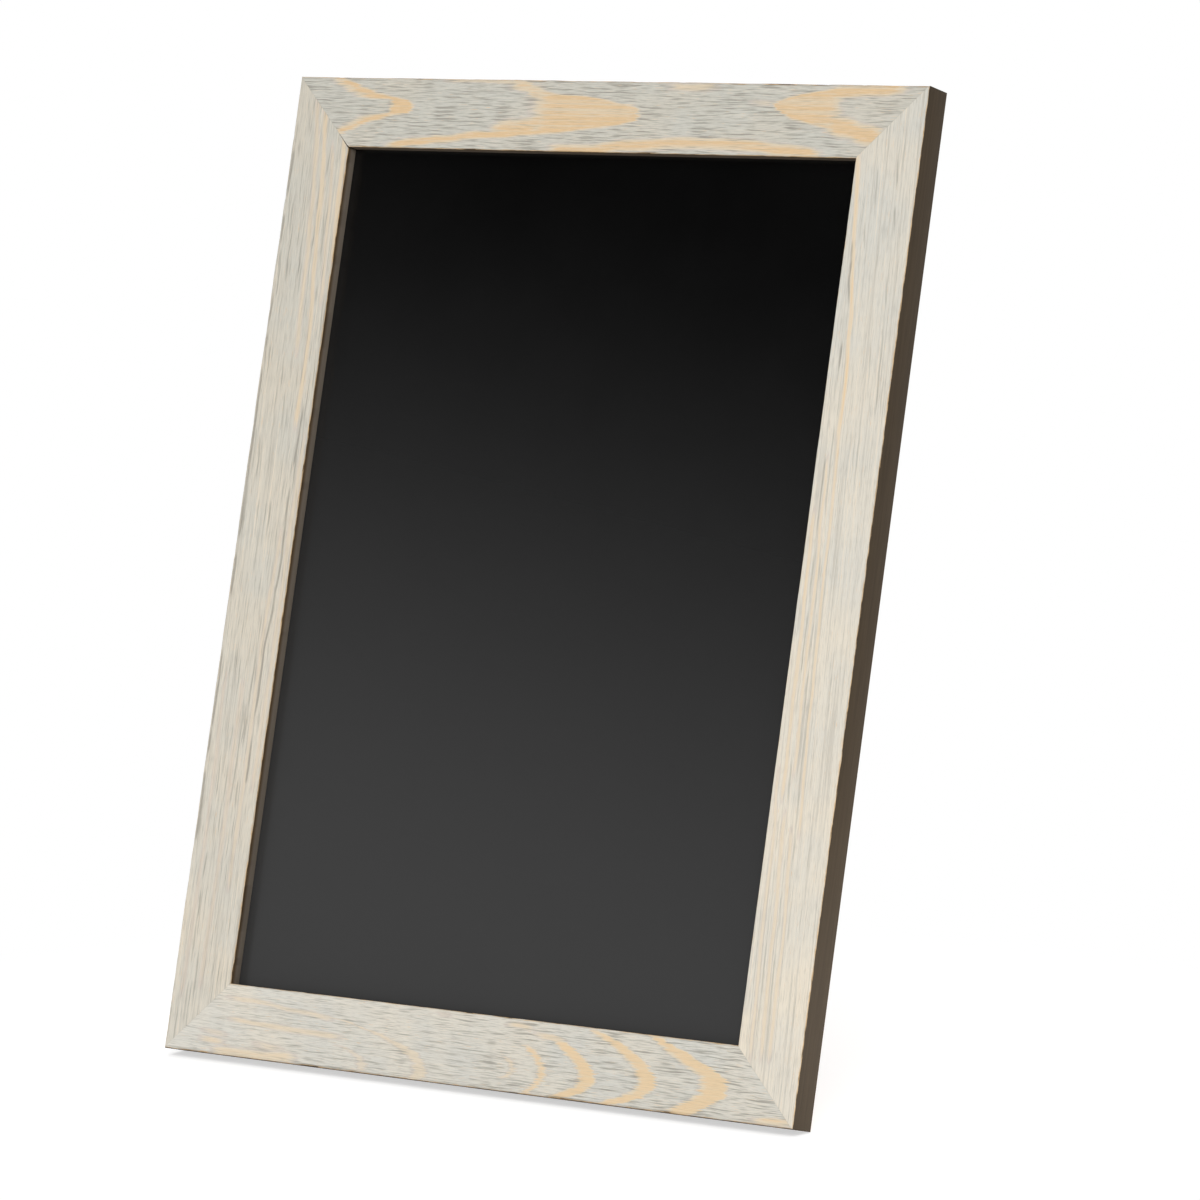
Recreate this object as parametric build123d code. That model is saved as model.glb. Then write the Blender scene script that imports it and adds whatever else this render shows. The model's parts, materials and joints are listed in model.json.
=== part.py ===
from build123d import *
import math
import os

# A framed slate writing board that stands on a table: four mitred members, the black writing slate,
# a backing board held by turn buttons, a hinged easel leg and a sawtooth wall hanger.
# Sizes are in millimetres and degrees. The board is drawn upright, with its front face at Y = 0,
# its bottom edge at Z = 0 and its middle at X = 0, and is leaned back onto its leg at the end.

# Frame
OPENING_WIDTH = 210.0
OPENING_HEIGHT = 297.0
FACE_WIDTH = 25.0
LIP_THICKNESS = 5.0
REBATE_WIDTH = 5.0
OUTER_EDGE_EASE = 0.8
SIGHT_EDGE_EASE = 0.5
MITRE_GAP = 0.06

# Slate and backing board
SLATE_THICKNESS = 4.0
SLATE_CHAMFER = 0.3
BACKING_THICKNESS = 3.0
REBATE_CLEARANCE = 0.5

# How the board stands
LEAN_ANGLE = 13.8
LEG_OPEN_ANGLE = 25.0
HINGE_DROP = 112.0

# Easel leg
LEG_THICKNESS = 2.5
LEG_TOP_WIDTH = 42.0
LEG_FOOT_WIDTH = 74.0
LEG_TOP_RADIUS = 6.0
LEG_FOOT_RADIUS = 4.0
LEG_TOP_GAP = 1.2
LEG_FOLD_GAP = 0.5

# Easel hinge
PIN_RADIUS = 1.0
PIN_CLEARANCE = 0.05
PIN_OVERHANG = 0.4
KNUCKLE_WALL = 0.75
KNUCKLE_LIFT = 0.3
KNUCKLE_GAP = 0.3
CENTRE_KNUCKLE_LENGTH = 13.0
LEAF_WIDTH = 32.0
LEAF_THICKNESS = 0.75
FIXED_LEAF_HEIGHT = 21.0
LEG_LEAF_HEIGHT = 27.0
LEAF_CORNER_RADIUS = 3.0
LEAF_NOTCH_GAP = 0.5
STOP_GAP = 0.1

# Rivets of the hinge
RIVET_RADIUS = 1.3
RIVET_HEAD_RADIUS = 2.6
RIVET_HEAD_HEIGHT = 1.0
RIVET_SPACING = 18.0
RIVET_EDGE_DISTANCE = 7.5
RIVET_TAIL_SINK = 0.2
FASTENER_CLEARANCE = 0.03

# Turn buttons and their screws
BUTTON_THICKNESS = 1.2
BUTTON_PIVOT_RADIUS = 4.6
BUTTON_TAIL_RADIUS = 3.2
BUTTON_REACH = 9.8
BUTTON_EDGE_ROUND = 0.35
BUTTON_REBATE_DISTANCE = 6.5
BUTTON_SEAT_GAP = 0.15
BUTTON_PIVOT_CLEARANCE = 0.1
STILE_BUTTON_SPACING = 190.0
RAIL_BUTTON_SPACING = 130.0
SCREW_RADIUS = 1.3
SCREW_LENGTH = 8.0
SCREW_TIP_LENGTH = 2.0
SCREW_TIP_RADIUS = 0.25
SCREW_HEAD_RADIUS = 2.6
SCREW_HEAD_HEIGHT = 1.7
SCREW_HEAD_ROUND = 0.9
SCREW_HEAD_GAP = 0.1
CROSS_WIDTH = 0.8
CROSS_LENGTH = 2.9
CROSS_DEPTH = 1.1

# Wedge nails that pull each mitre together
V_NAIL_WING = 5.0
V_NAIL_THICKNESS = 0.6
V_NAIL_HEIGHT = 6.5
V_NAIL_OUTER_OFFSET = 4.0
V_NAIL_INNER_OFFSET = 11.5

# Sawtooth wall hanger and its nails
HANGER_LENGTH = 45.0
HANGER_WIDTH = 8.5
HANGER_THICKNESS = 0.8
HANGER_RISE = 1.4
HANGER_END_LENGTH = 8.0
HANGER_RAMP = 2.0
HANGER_CORNER_RADIUS = 1.5
TOOTH_COUNT = 11
TOOTH_DEPTH = 1.3
TOOTH_BAND_MARGIN = 1.5
NAIL_RADIUS = 0.65
NAIL_LENGTH = 8.0
NAIL_HEAD_RADIUS = 1.7
NAIL_HEAD_HEIGHT = 0.7
NAIL_HEAD_CHAMFER = 0.35

# Sizes that follow from the ones above
FRAME_WIDTH = OPENING_WIDTH + 2 * FACE_WIDTH
FRAME_HEIGHT = OPENING_HEIGHT + 2 * FACE_WIDTH
FRAME_DEPTH = LIP_THICKNESS + SLATE_THICKNESS + BACKING_THICKNESS
BODY_WIDTH = FACE_WIDTH - REBATE_WIDTH
INSERT_WIDTH = OPENING_WIDTH + 2 * (REBATE_WIDTH - REBATE_CLEARANCE)
INSERT_HEIGHT = OPENING_HEIGHT + 2 * (REBATE_WIDTH - REBATE_CLEARANCE)
BACKING_FRONT = LIP_THICKNESS + SLATE_THICKNESS
KNUCKLE_RADIUS = PIN_RADIUS + PIN_CLEARANCE + KNUCKLE_WALL
NOTCH_RADIUS = KNUCKLE_RADIUS + LEAF_NOTCH_GAP
FOLDED_LEG_RISE = LEG_FOLD_GAP + LEG_THICKNESS + LEAF_THICKNESS
HINGE_DEPTH = FRAME_DEPTH + max(KNUCKLE_LIFT + KNUCKLE_RADIUS, FOLDED_LEG_RISE - KNUCKLE_RADIUS)
HINGE_HEIGHT = FRAME_HEIGHT - HINGE_DROP
LEG_LEAF_FRONT = HINGE_DEPTH + KNUCKLE_RADIUS - LEAF_THICKNESS
LEG_FRONT = LEG_LEAF_FRONT - LEG_THICKNESS
BUTTON_FRONT = FRAME_DEPTH + BUTTON_SEAT_GAP
SCREW_SEAT = BUTTON_FRONT + BUTTON_THICKNESS + SCREW_HEAD_GAP
NAIL_SEAT = FRAME_DEPTH + HANGER_THICKNESS
HANGER_HEIGHT = FRAME_HEIGHT - BODY_WIDTH / 2
HANGER_NAIL_REACH = (HANGER_LENGTH - HANGER_END_LENGTH) / 2


def slab(face, front, back):
    """Solid of a face drawn across (X) and up (Z), between two depths behind the board's front."""
    return Pos(0, front, 0) * Rot(90, 0, 0) * extrude(face, amount=front - back)


def facing_back(solid):
    """Turns a solid that was drawn pointing up so that it points out of the board's back."""
    return Rot(-90, 0, 0) * solid


def along_pin(radius, length):
    """Cylinder about the hinge pin's axis, centred on the board's middle."""
    return Pos(0, HINGE_DEPTH, HINGE_HEIGHT) * Rot(0, 90, 0) * Cylinder(radius, length)


def group(pieces):
    """Several separate solids that share one name."""
    return Compound(children=[solid for piece in pieces for solid in piece.solids()])


# Frame

def moulding(length):
    """Bar of the rebated moulding along X, its outer edge at Z = 0 and its face at Y = 0."""
    outline = Polygon(
        (0, 0),
        (0, FACE_WIDTH),
        (LIP_THICKNESS, FACE_WIDTH),
        (LIP_THICKNESS, BODY_WIDTH),
        (FRAME_DEPTH, BODY_WIDTH),
        (FRAME_DEPTH, 0),
        align=None,
    )
    outer = outline.vertices().group_by(Axis.X)[0].sort_by(Axis.Y)[0]
    outline = fillet(outer, OUTER_EDGE_EASE)
    sight = outline.vertices().group_by(Axis.Y)[-1].sort_by(Axis.X)[0]
    outline = fillet(sight, SIGHT_EDGE_EASE)
    return extrude(Plane.YZ * outline, amount=length / 2, both=True)


def mitred_member(length):
    """One side of the frame, cut at 45 degrees at both ends."""
    half = length / 2 - MITRE_GAP / math.sqrt(2)
    trapezium = Polygon(
        (-half, 0),
        (half, 0),
        (half - FACE_WIDTH, FACE_WIDTH),
        (-half + FACE_WIDTH, FACE_WIDTH),
        align=None,
    )
    return moulding(length) & slab(trapezium, 0, FRAME_DEPTH)


def v_nail(offset, growth):
    """Wedge nail of the lower left corner, with one wing in the rail and one in the stile."""
    near = offset - growth
    inside = offset + V_NAIL_THICKNESS + growth
    far = offset + V_NAIL_WING + growth
    wings = Polygon(
        (near, near),
        (far, near),
        (far, inside),
        (inside, inside),
        (inside, far),
        (near, far),
        align=None,
    )
    deepest = FRAME_DEPTH - V_NAIL_HEIGHT - growth
    return Pos(-FRAME_WIDTH / 2, 0, 0) * slab(wings, deepest, FRAME_DEPTH)


def at_every_corner(solid):
    """The four copies of a lower left corner's solid, one for each corner of the frame."""
    left = [solid, mirror(solid, about=Plane.XY.offset(FRAME_HEIGHT / 2))]
    return left + [mirror(copy, about=Plane.YZ) for copy in left]


def all_v_nails(growth):
    """Every wedge nail of the frame, or the slots that they fill when grown by a clearance."""
    outer = at_every_corner(v_nail(V_NAIL_OUTER_OFFSET, growth))
    return outer + at_every_corner(v_nail(V_NAIL_INNER_OFFSET, growth))


def button_places():
    """X, Z and resting turn of each turn button by name, two on each side of the frame."""
    across = OPENING_WIDTH / 2 + REBATE_WIDTH + BUTTON_REBATE_DISTANCE
    rise = OPENING_HEIGHT / 2 + REBATE_WIDTH + BUTTON_REBATE_DISTANCE
    middle = FRAME_HEIGHT / 2
    places = {}
    for side, x, turn in (("left", -across, 0), ("right", across, 180)):
        for place, z in (("upper", STILE_BUTTON_SPACING / 2), ("lower", -STILE_BUTTON_SPACING / 2)):
            places[f"turn_button_{side}_{place}"] = (x, middle + z, turn)
    for side, z, turn in (("top", rise, 90), ("bottom", -rise, -90)):
        for place, x in (("left", -RAIL_BUTTON_SPACING / 2), ("right", RAIL_BUTTON_SPACING / 2)):
            places[f"turn_button_{side}_{place}"] = (x, middle + z, turn)
    return places


def hanger_nail_places():
    """Where the hanger's two nails sit, with their heads on the hanger."""
    return [Pos(x, NAIL_SEAT, HANGER_HEIGHT) for x in (-HANGER_NAIL_REACH, HANGER_NAIL_REACH)]


def frame_members():
    """The four sides of the frame, with the holes and slots of their fasteners."""
    rail = mitred_member(FRAME_WIDTH)
    stile = mitred_member(FRAME_HEIGHT)
    members = {
        "bottom_rail": rail,
        "top_rail": Pos(0, 0, FRAME_HEIGHT) * Rot(0, 180, 0) * rail,
        "left_stile": Pos(-FRAME_WIDTH / 2, 0, FRAME_HEIGHT / 2) * Rot(0, 90, 0) * stile,
        "right_stile": Pos(FRAME_WIDTH / 2, 0, FRAME_HEIGHT / 2) * Rot(0, -90, 0) * stile,
    }
    cuts = all_v_nails(FASTENER_CLEARANCE)
    for x, z, _ in button_places().values():
        cuts.append(Pos(x, SCREW_SEAT, z) * screw_shank(FASTENER_CLEARANCE))
    cuts += [place * nail_shank(FASTENER_CLEARANCE) for place in hanger_nail_places()]
    return {name: member - cuts for name, member in members.items()}


# Slate and backing board

def insert_sheet(front, back):
    """Sheet that fills the frame's rebate between two depths."""
    sheet = slab(Rectangle(INSERT_WIDTH, INSERT_HEIGHT), front, back)
    return Pos(0, 0, FRAME_HEIGHT / 2) * sheet


def writing_slate():
    """The writing slate, which seats against the back of the frame's lip."""
    sheet = insert_sheet(LIP_THICKNESS, BACKING_FRONT)
    return chamfer(sheet.faces().sort_by(Axis.Y)[0].edges(), SLATE_CHAMFER)


def backing_board():
    """Hardboard behind the slate, flush with the frame's back, drilled for the hinge's rivets."""
    return insert_sheet(BACKING_FRONT, FRAME_DEPTH) - fixed_rivets(rivet_shank, FASTENER_CLEARANCE)


# Turn buttons, screws and nails

def turn_button():
    """Stamped teardrop plate that swivels on its screw, drawn with its tail towards +X."""
    tail = Pos(BUTTON_REACH, 0) * Circle(BUTTON_TAIL_RADIUS)
    drop = make_hull([*Circle(BUTTON_PIVOT_RADIUS).edges(), *tail.edges()])
    plate = extrude(drop, amount=BUTTON_THICKNESS)
    plate = fillet(plate.faces().sort_by(Axis.Z)[-1].edges(), BUTTON_EDGE_ROUND)
    hole = Cylinder(SCREW_RADIUS + BUTTON_PIVOT_CLEARANCE, 3 * BUTTON_THICKNESS)
    return facing_back(plate - hole)


def screw_shank(growth):
    """Plain shank of a button's screw below its head, with a pointed tip."""
    straight = SCREW_LENGTH - SCREW_TIP_LENGTH
    shank = Pos(0, 0, -straight / 2) * Cylinder(SCREW_RADIUS + growth, straight)
    tip = Cone(SCREW_TIP_RADIUS + growth, SCREW_RADIUS + growth, SCREW_TIP_LENGTH + growth)
    tip_middle = -straight - (SCREW_TIP_LENGTH + growth) / 2
    return facing_back(shank + Pos(0, 0, tip_middle) * tip)


def button_screw():
    """Round-headed wood screw with a cross recess."""
    head = Pos(0, 0, SCREW_HEAD_HEIGHT / 2) * Cylinder(SCREW_HEAD_RADIUS, SCREW_HEAD_HEIGHT)
    head = fillet(head.faces().sort_by(Axis.Z)[-1].edges(), SCREW_HEAD_ROUND)
    recess_middle = SCREW_HEAD_HEIGHT - CROSS_DEPTH / 2
    slot = Pos(0, 0, recess_middle) * Box(CROSS_LENGTH, CROSS_WIDTH, CROSS_DEPTH)
    head = head - slot - Rot(0, 0, 90) * slot
    return facing_back(head) + screw_shank(0)


def nail_shank(growth):
    """Shank of a hanger nail below its head."""
    length = NAIL_LENGTH + growth
    return facing_back(Pos(0, 0, -length / 2) * Cylinder(NAIL_RADIUS + growth, length))


def hanger_nail():
    """Small nail with a flat round head."""
    head = Pos(0, 0, NAIL_HEAD_HEIGHT / 2) * Cylinder(NAIL_HEAD_RADIUS, NAIL_HEAD_HEIGHT)
    head = chamfer(head.faces().sort_by(Axis.Z)[-1].edges(), NAIL_HEAD_CHAMFER)
    return facing_back(head) + nail_shank(0)


# Sawtooth hanger

def hanger_bow(offset):
    """Points of one side of the hanger's bowed section, from its left end to its right end."""
    foot = HANGER_LENGTH / 2 - HANGER_END_LENGTH
    crest = foot - HANGER_RAMP
    return [
        (-HANGER_LENGTH / 2, offset),
        (-foot, offset),
        (-crest, offset + HANGER_RISE),
        (crest, offset + HANGER_RISE),
        (foot, offset),
        (HANGER_LENGTH / 2, offset),
    ]


def sawtooth_hanger():
    """Bowed steel bar along X with teeth on its lower edge, its ends lying on Y = 0."""
    section = Polygon(*hanger_bow(0), *reversed(hanger_bow(HANGER_THICKNESS)), align=None)
    bar = extrude(section, amount=HANGER_WIDTH / 2, both=True)
    bar = fillet(bar.edges().filter_by(Axis.Y), HANGER_CORNER_RADIUS)
    band = HANGER_LENGTH - 2 * (HANGER_END_LENGTH + HANGER_RAMP + TOOTH_BAND_MARGIN)
    pitch = band / TOOTH_COUNT
    low = -HANGER_WIDTH / 2
    gap = Polygon((-pitch / 2, low), (pitch / 2, low), (0, low + TOOTH_DEPTH), align=None)
    notch = slab(gap, 0, HANGER_RISE + 2 * HANGER_THICKNESS)
    first = (pitch - band) / 2
    notches = [Pos(first + i * pitch, 0, 0) * notch for i in range(TOOTH_COUNT)]
    hole = facing_back(Cylinder(NAIL_RADIUS + FASTENER_CLEARANCE, 4 * HANGER_THICKNESS))
    holes = [Pos(x, 0, 0) * hole for x in (-HANGER_NAIL_REACH, HANGER_NAIL_REACH)]
    return bar - notches - holes


# Easel hinge and leg, drawn with the leg folded flat

def knuckle(low, high):
    """Solid barrel of the hinge between two places along X."""
    return Pos((low + high) / 2, 0, 0) * along_pin(KNUCKLE_RADIUS, high - low)


def pin_bore():
    """Bore through every barrel of the hinge."""
    return along_pin(PIN_RADIUS + PIN_CLEARANCE, 2 * LEAF_WIDTH)


def notch_box(low, high):
    """Room in a leaf for the other leaf's barrel, between two places along X."""
    middle = Pos((low + high) / 2, HINGE_DEPTH, HINGE_HEIGHT)
    return middle * Box(high - low, 2 * HINGE_DEPTH, 2 * NOTCH_RADIUS)


def leaf_plate(low, high, front, rounded_end):
    """Flat leaf between two heights, with the corners of its lower (0) or upper (-1) end rounded."""
    corners = Rectangle(LEAF_WIDTH, high - low).vertices().group_by(Axis.Y)[rounded_end]
    outline = fillet(corners, LEAF_CORNER_RADIUS)
    return Pos(0, 0, (low + high) / 2) * slab(outline, front, front + LEAF_THICKNESS)


def knuckle_root(low, high):
    """Strip of the fixed leaf that bends up from the backing board into a barrel."""
    depth = HINGE_DEPTH - FRAME_DEPTH
    height = HINGE_HEIGHT + KNUCKLE_RADIUS - LEAF_THICKNESS / 2
    middle = Pos((low + high) / 2, FRAME_DEPTH + depth / 2, height)
    return middle * Box(high - low, depth, LEAF_THICKNESS)


def fixed_leaf():
    """Leaf that is riveted to the backing board above the pin, with the two outer barrels."""
    inner = CENTRE_KNUCKLE_LENGTH / 2 + KNUCKLE_GAP
    outer = LEAF_WIDTH / 2
    low = HINGE_HEIGHT + KNUCKLE_RADIUS - LEAF_THICKNESS
    leaf = leaf_plate(low, HINGE_HEIGHT + FIXED_LEAF_HEIGHT, FRAME_DEPTH, -1)
    leaf = leaf - notch_box(-inner, inner)
    for ends in ((-outer, -inner), (inner, outer)):
        leaf = leaf + knuckle_root(*ends) + knuckle(*ends)
    return leaf - pin_bore() - fixed_rivets(rivet_shank, FASTENER_CLEARANCE)


def stop_reach():
    """How far the leg's leaf reaches above the pin, so that it meets the fixed leaf when open."""
    angle = math.radians(LEG_OPEN_ANGLE)
    inside = KNUCKLE_RADIUS - LEAF_THICKNESS
    drop = HINGE_DEPTH - FRAME_DEPTH - LEAF_THICKNESS - STOP_GAP
    return (inside * math.cos(angle) + drop) / math.sin(angle)


def leg_leaf():
    """Leaf that is riveted to the leg below the pin, with the middle barrel and the stop tab."""
    inner = CENTRE_KNUCKLE_LENGTH / 2
    leaf = leaf_plate(HINGE_HEIGHT - LEG_LEAF_HEIGHT, HINGE_HEIGHT, LEG_LEAF_FRONT, 0)
    leaf = leaf - notch_box(-LEAF_WIDTH, -inner) - notch_box(inner, LEAF_WIDTH)
    tab = Pos(0, HINGE_HEIGHT + stop_reach() / 2) * Rectangle(CENTRE_KNUCKLE_LENGTH, stop_reach())
    leaf = leaf + slab(tab, LEG_LEAF_FRONT, LEG_LEAF_FRONT + LEAF_THICKNESS)
    leaf = leaf + knuckle(-inner, inner)
    return leaf - pin_bore() - leg_rivets(rivet_shank, FASTENER_CLEARANCE)


def hinge_pin():
    """Straight pin through all three barrels, standing a little proud at both ends."""
    return along_pin(PIN_RADIUS, LEAF_WIDTH + 2 * PIN_OVERHANG)


def rivet_shank(length, growth):
    """Shank of a rivet below its head."""
    return Pos(0, 0, -length / 2) * Cylinder(RIVET_RADIUS + growth, length)


def whole_rivet(length, growth):
    """Rivet with a domed head."""
    dome = (RIVET_HEAD_RADIUS**2 + RIVET_HEAD_HEIGHT**2) / (2 * RIVET_HEAD_HEIGHT)
    above_seat = Pos(0, 0, dome) * Box(2 * dome, 2 * dome, 2 * dome)
    head = above_seat & Pos(0, 0, RIVET_HEAD_HEIGHT - dome) * Sphere(dome)
    return head + rivet_shank(length, growth)


def rivet_pair(shape, height, seat, tail, growth):
    """Both rivets of a leaf, or their holes, with the heads on the leaf and the tails in the board."""
    rivet = facing_back(shape(seat - tail + growth, growth))
    return [Pos(x, seat, height) * rivet for x in (-RIVET_SPACING / 2, RIVET_SPACING / 2)]


def fixed_rivets(shape, growth):
    """Rivets of the fixed leaf, through the backing board."""
    height = HINGE_HEIGHT + FIXED_LEAF_HEIGHT - RIVET_EDGE_DISTANCE
    return rivet_pair(
        shape, height, FRAME_DEPTH + LEAF_THICKNESS, BACKING_FRONT + RIVET_TAIL_SINK, growth
    )


def leg_rivets(shape, growth):
    """Rivets of the leg's leaf, through the leg."""
    height = HINGE_HEIGHT - LEG_LEAF_HEIGHT + RIVET_EDGE_DISTANCE
    return rivet_pair(
        shape, height, LEG_LEAF_FRONT + LEAF_THICKNESS, LEG_FRONT + RIVET_TAIL_SINK, growth
    )


def leg_length():
    """Distance from the pin to the end of a leg that just reaches the table when open."""
    lean = math.radians(LEAN_ANGLE)
    splay = math.radians(LEG_OPEN_ANGLE - LEAN_ANGLE)
    pin_rise = HINGE_HEIGHT * math.cos(lean) - (HINGE_DEPTH - FRAME_DEPTH) * math.sin(lean)
    outside = LEG_LEAF_FRONT - HINGE_DEPTH
    return (pin_rise + outside * math.sin(splay)) / math.cos(splay)


def easel_leg():
    """Tapered hardboard leg under the pin, drilled for its rivets."""
    top = HINGE_HEIGHT - KNUCKLE_RADIUS - LEG_TOP_GAP
    foot = HINGE_HEIGHT - leg_length()
    outline = Polygon(
        (-LEG_FOOT_WIDTH / 2, foot),
        (LEG_FOOT_WIDTH / 2, foot),
        (LEG_TOP_WIDTH / 2, top),
        (-LEG_TOP_WIDTH / 2, top),
        align=None,
    )
    outline = fillet(outline.vertices().group_by(Axis.Y)[-1], LEG_TOP_RADIUS)
    outline = fillet(outline.vertices().group_by(Axis.Y)[0], LEG_FOOT_RADIUS)
    leg = slab(outline, LEG_FRONT, LEG_LEAF_FRONT)
    return leg - leg_rivets(rivet_shank, FASTENER_CLEARANCE)


# Placing

def opened(solid):
    """Swings a folded piece of the leg out about the pin."""
    pin = Pos(0, HINGE_DEPTH, HINGE_HEIGHT)
    return pin * Rot(LEG_OPEN_ANGLE, 0, 0) * pin.inverse() * solid


def leaned(thing):
    """Leans the upright board back about the lower edge of its back, which stays on the table."""
    return Rot(-LEAN_ANGLE, 0, 0) * Pos(0, -FRAME_DEPTH, 0) * thing


def trimmed_to_table(solid):
    """Bevels the leg's end so that it stands flat on the table."""
    size = 4 * FRAME_HEIGHT
    return solid & Pos(0, 0, size / 2) * Box(size, size, size)


def upright_nodes():
    """Every piece by name, on the upright board with its leg open."""
    nodes = frame_members()
    nodes["corner_v_nails"] = group(all_v_nails(0))
    nodes["writing_slate"] = writing_slate()
    nodes["backing_board"] = backing_board()
    places = button_places()
    for name, (x, z, turn) in places.items():
        nodes[name] = Pos(x, BUTTON_FRONT, z) * Rot(0, turn, 0) * turn_button()
    screws = [Pos(x, SCREW_SEAT, z) * button_screw() for x, z, _ in places.values()]
    nodes["turn_button_screws"] = group(screws)
    nodes["top_hanger"] = Pos(0, FRAME_DEPTH, HANGER_HEIGHT) * sawtooth_hanger()
    nodes["hanger_nails"] = group(place * hanger_nail() for place in hanger_nail_places())
    nodes["hinge_fixed_leaf"] = fixed_leaf()
    nodes["hinge_fixed_rivets"] = group(fixed_rivets(whole_rivet, 0))
    nodes["hinge_pin"] = hinge_pin()
    nodes["hinge_leg_leaf"] = opened(leg_leaf())
    nodes["hinge_leg_rivets"] = group(opened(rivet) for rivet in leg_rivets(whole_rivet, 0))
    nodes["easel_leg"] = opened(easel_leg())
    return nodes


def standing_nodes():
    """Every piece of the standing board, and the move that centres its footprint on the origin."""
    nodes = {name: leaned(piece) for name, piece in upright_nodes().items()}
    nodes["easel_leg"] = trimmed_to_table(nodes["easel_leg"])
    box = group(nodes.values()).bounding_box()
    print("width, depth and height:", box.size)
    return nodes, Pos(0, -(box.min.Y + box.max.Y) / 2, 0)


def main():
    """Builds the standing board and writes one file for each piece."""
    nodes, centring = standing_nodes()
    os.makedirs("parts", exist_ok=True)
    for name, piece in nodes.items():
        export_step(centring * piece, f"parts/{name}.step")
    print("pin:", (centring * leaned(Pos(0, HINGE_DEPTH, HINGE_HEIGHT))).position)


main()
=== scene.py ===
# %% [markdown]
# # A framed slate writing board
# The board is a sheet of black slate in a mitred frame of brushed, grey-washed pine. A backing board, eight
# turn buttons and a folding leg sit behind it. The solids come first: they give every piece its size and its
# place, and this lesson only dresses them. Everything is in metres, in the frame of those solids.

# %% Load the solids
import json
import math
from collections import namedtuple

import bmesh
import bpy
from mathutils import Matrix, Vector, noise


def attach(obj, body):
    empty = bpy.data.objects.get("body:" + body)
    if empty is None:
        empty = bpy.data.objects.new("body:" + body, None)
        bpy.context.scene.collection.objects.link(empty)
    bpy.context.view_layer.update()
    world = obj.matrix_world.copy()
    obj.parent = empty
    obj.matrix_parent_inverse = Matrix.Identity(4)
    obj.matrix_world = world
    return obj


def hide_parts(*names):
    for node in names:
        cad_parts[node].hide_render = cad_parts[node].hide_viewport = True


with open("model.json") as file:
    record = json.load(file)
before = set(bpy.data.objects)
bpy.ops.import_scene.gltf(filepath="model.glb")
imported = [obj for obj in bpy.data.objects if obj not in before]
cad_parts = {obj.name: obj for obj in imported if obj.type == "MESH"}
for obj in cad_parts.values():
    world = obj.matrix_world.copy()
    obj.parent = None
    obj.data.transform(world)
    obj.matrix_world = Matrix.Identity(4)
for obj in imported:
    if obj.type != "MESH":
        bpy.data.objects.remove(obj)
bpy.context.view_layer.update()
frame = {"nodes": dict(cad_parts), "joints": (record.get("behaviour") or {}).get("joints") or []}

# %% [markdown]
# ## The board's own axes
# The board leans back, so its faces are square to nothing in the world. The turn buttons swivel about the
# line that stands out of the board's back, and that joint axis gives the lean without typing an angle. With
# one axis across, one up the board and one out of its back, each part can be measured along the board.

# %% Measure the frame along the board's axes
ACROSS = Vector((1, 0, 0))
BACK = next(Vector(joint["axis"]) for joint in frame["joints"] if joint["name"] == "button_top_left_turn")
UP = ACROSS.cross(BACK)
MM = 0.001


def span(node, axis):
    """Nearest and farthest place of a solid along one of the board's axes, in metres."""
    places = [axis.dot(vertex.co) for vertex in frame["nodes"][node].data.vertices]
    return min(places), max(places)


LEFT, LEFT_SIGHT = span("left_stile", ACROSS)
RIGHT = span("right_stile", ACROSS)[1]
BOTTOM = span("bottom_rail", UP)[0]
TOP = span("top_rail", UP)[1]
FRONT, REAR = span("left_stile", BACK)
WIDTH = (RIGHT - LEFT) / MM
HEIGHT = (TOP - BOTTOM) / MM
DEPTH = (REAR - FRONT) / MM
FACE = (LEFT_SIGHT - LEFT) / MM
LIP = (span("writing_slate", BACK)[0] - FRONT) / MM
print(f"frame {WIDTH:.1f} x {HEIGHT:.1f} x {DEPTH:.1f} mm, face {FACE:.1f}, lip {LIP:.1f}")

# %% [markdown]
# ## How pine grain is drawn
# A flat-sawn pine board shows its growth rings as nested arches, with straight lines where the cut is
# steeper. Hard orange latewood forms the lines and soft pale earlywood lies between them. A noise texture
# could give some grain, but not arches in chosen places, so each line is a small formula. An arch has a
# filled nose and two thin arms that fall back from it. A chevron has no nose: it is a band of one length,
# measured along the grain, that only tapers in its arms. A streak follows a few points. All are in
# millimetres, measured along the member and in from its outer edge. Where a line has a pair of values, the
# first is for its side towards the slate. The named pairs below say where an edge begins to fade and where
# it ends, in millimetres for tips and taper and as shares of the band's own size elsewhere.

# %% Arches, chevrons and streaks of latewood
ARCH_VALUES = "along across falls arms nose reach points power flat strength fill"
CHEVRON_VALUES = "along across falls length reach power flat strength"
Arch = namedtuple("Arch", ARCH_VALUES, defaults=(1, 2.0, 0.0, 0.95, 0.85))
Chevron = namedtuple("Chevron", CHEVRON_VALUES, defaults=(2.0, 0.0, 0.95))
Streak = namedtuple("Streak", "points half strength", defaults=(0.85,))
NOSE_ROUNDING = 0.06
ARCH_START = -2.0
ARCH_TIP = -0.5, 0.8
ARCH_ARM = 0.4, 1.4
ARCH_ARM_END = 0.55, 1.0
ARCH_NOSE_END = 0.75, 1.0
CHEVRON_TIP = -0.6, 1.0
CHEVRON_TAIL = 0.7, 1.15
CHEVRON_ARM_END = 0.65, 1.0
CHEVRON_TAPER = 8.0, 30.0
STREAK_EDGE = 0.3, 1.5
STREAK_FADE = 8.0


def ramp(value, low, high):
    """Smooth step from 0 at low to 1 at high."""
    share = min(max((value - low) / (high - low), 0.0), 1.0)
    return share * share * (3 - 2 * share)


def fade(value, shares, size):
    """Smooth step from 1 to 0 between two shares of a size."""
    return 1 - ramp(value, shares[0] * size, shares[1] * size)


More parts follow.
